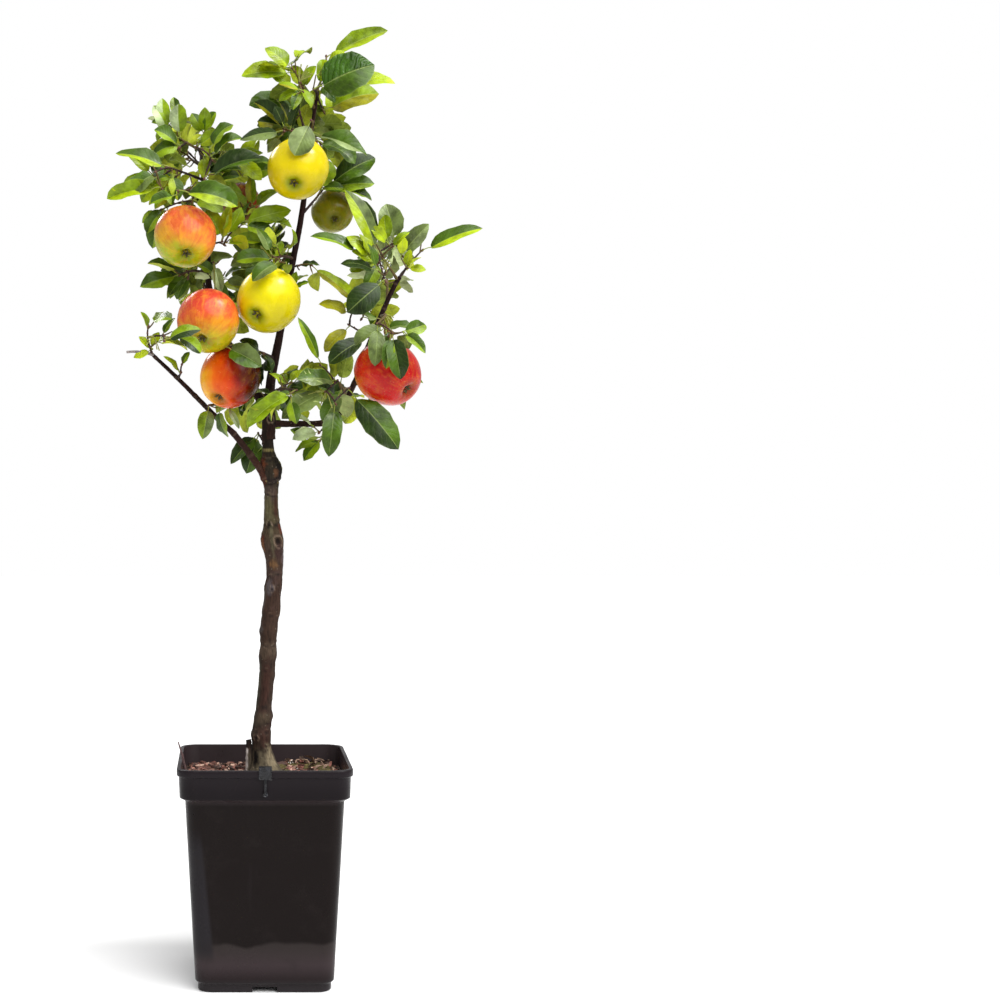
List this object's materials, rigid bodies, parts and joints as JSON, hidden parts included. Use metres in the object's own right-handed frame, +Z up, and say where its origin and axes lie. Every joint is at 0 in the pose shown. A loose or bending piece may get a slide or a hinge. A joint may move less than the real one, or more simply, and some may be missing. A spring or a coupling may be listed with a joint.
{
  "type": "potted dwarf apple tree",
  "caption": "Dwarf apple tree with a knotty bare trunk, an open leafy crown and ripe fruit, growing in a square black nursery pot.",
  "frame": {"origin": "middle of the pot's flat underside", "axes": "+Z up along the tree, -Y towards the front, where the clip hangs on the rim and the ripe apples show, +X to the front's right"},
  "size_m": [0.4234, 0.2697, 1.0806],
  "materials": {
    "pot_plastic": "dark charcoal, semi-matt moulded plastic",
    "potting_soil": "damp bark compost with moss",
    "clip_plastic": "dark smoky plastic",
    "trunk_bark": "grey-brown fissured bark",
    "bough_bark": "smooth purple-brown bark",
    "foliage": "leathery green leaves on brown twigs",
    "fruiting_foliage": "green leaves and waxy apples, yellow to crimson"
  },
  "bodies": {
    "root": {"pot": "pot_plastic", "soil": "potting_soil", "rim_clip": "clip_plastic", "trunk": "trunk_bark", "left_lower_bough": "bough_bark", "left_upright_bough": "bough_bark", "right_bough": "bough_bark", "top_right_foliage": "foliage", "top_left_foliage": "foliage", "shoulder_foliage": "foliage", "upper_yellow_apple": "fruiting_foliage", "green_apple": "fruiting_foliage", "left_crown_upper": "foliage", "left_crown_lower": "foliage", "left_crown_top": "foliage", "left_crown_inner": "foliage", "upper_blush_apple": "fruiting_foliage", "centre_left_foliage": "fruiting_foliage", "centre_left_spur": "foliage", "centre_right_spur": "foliage", "lower_yellow_apple": "fruiting_foliage", "middle_blush_apple": "fruiting_foliage", "left_side_spur": "foliage", "lower_blush_apple": "fruiting_foliage", "left_tip_foliage": "foliage", "left_bough_upper_spur": "foliage", "left_bough_lower_spur": "foliage", "fork_foliage": "foliage", "front_foliage": "foliage", "lower_right_foliage": "foliage", "low_right_spur": "foliage", "crimson_apple": "fruiting_foliage", "right_inner_foliage": "foliage", "right_top_foliage": "foliage", "right_tip_foliage": "foliage", "back_top_foliage": "foliage", "back_left_foliage": "foliage", "back_left_low_foliage": "foliage", "back_centre_foliage": "foliage", "back_right_foliage": "foliage", "back_low_foliage": "foliage", "back_right_low_foliage": "foliage"}
  },
  "joints": []
}
